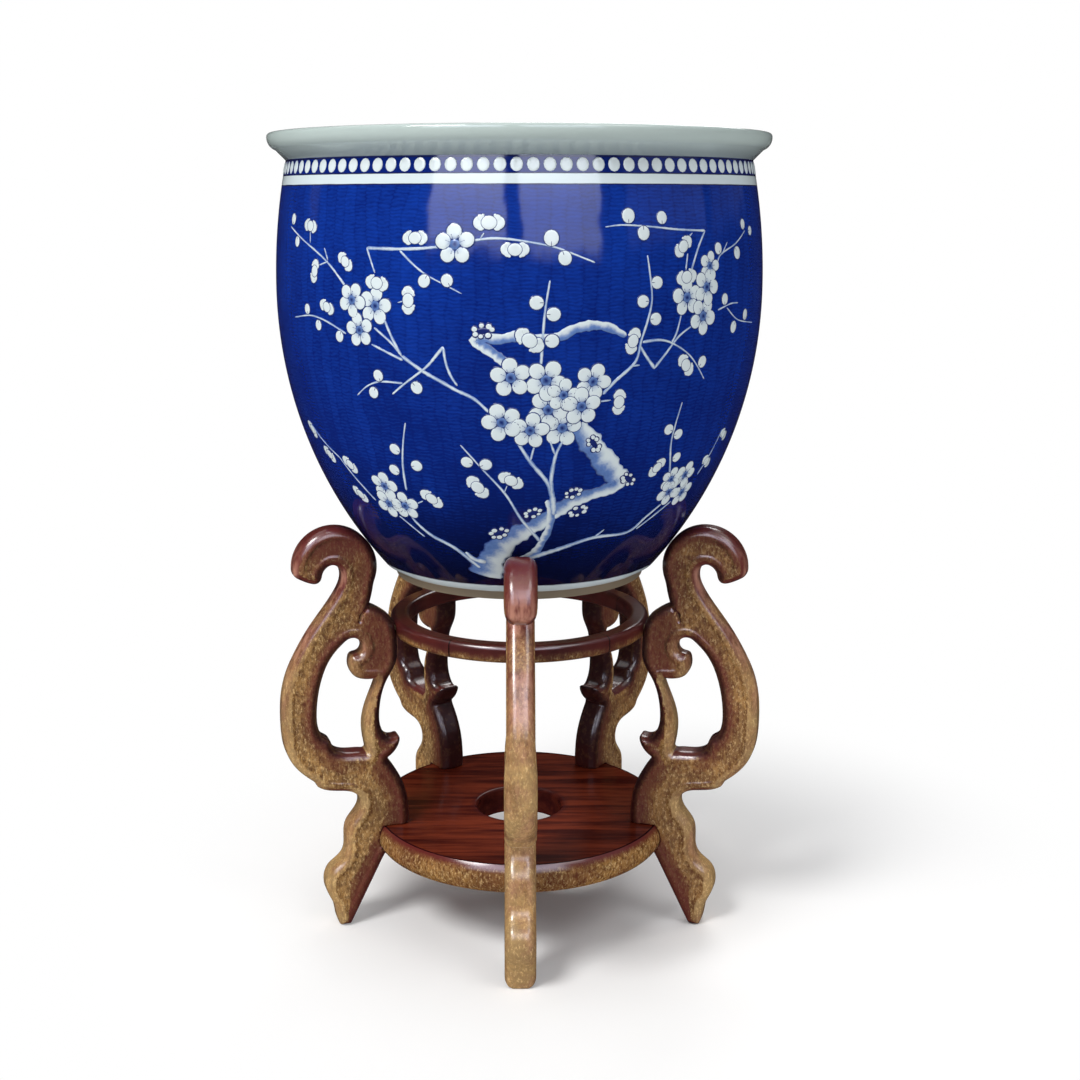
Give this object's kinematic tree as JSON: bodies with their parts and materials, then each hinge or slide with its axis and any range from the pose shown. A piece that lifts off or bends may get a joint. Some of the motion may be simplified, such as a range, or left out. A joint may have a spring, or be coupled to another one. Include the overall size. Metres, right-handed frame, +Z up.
{
  "type": "jardiniere on stand",
  "caption": "Round porcelain fishbowl planter with an everted rim, resting on the scroll tops of a carved hardwood stand with curved legs, a ring and a low round shelf.",
  "frame": {"origin": "on the floor, at the bottom centre of the part, on the stand's axis", "axes": "+Z up; the front leg points along -Y, with +X to the right of someone who faces it"},
  "size_m": [0.463, 0.4695, 0.7589],
  "materials": {
    "porcelain": "glazed porcelain, cobalt blue and white, high gloss",
    "hardwood": "dark red mahogany lacquer, glossy, worn to gold on the edges and lower legs",
    "dowel_wood": "bare hardwood dowel",
    "screw_steel": "plain steel wood screw"
  },
  "bodies": {
    "stand": {"leg_front": "hardwood", "leg_right": "hardwood", "leg_back_right": "hardwood", "leg_back_left": "hardwood", "leg_left": "hardwood", "ring_rail_1": "hardwood", "ring_rail_2": "hardwood", "ring_rail_3": "hardwood", "ring_rail_4": "hardwood", "ring_rail_5": "hardwood", "shelf": "hardwood", "ring_seam_pins": "dowel_wood", "ring_dowels": "dowel_wood", "shelf_screws": "screw_steel"},
    "bowl": {"jardiniere": "porcelain"}
  },
  "joints": [
    {"name": "bowl_lift", "type": "slide", "parent": "stand", "child": "bowl", "axis": [0, 0, 1], "range_m": [0, 0.07]}
  ]
}
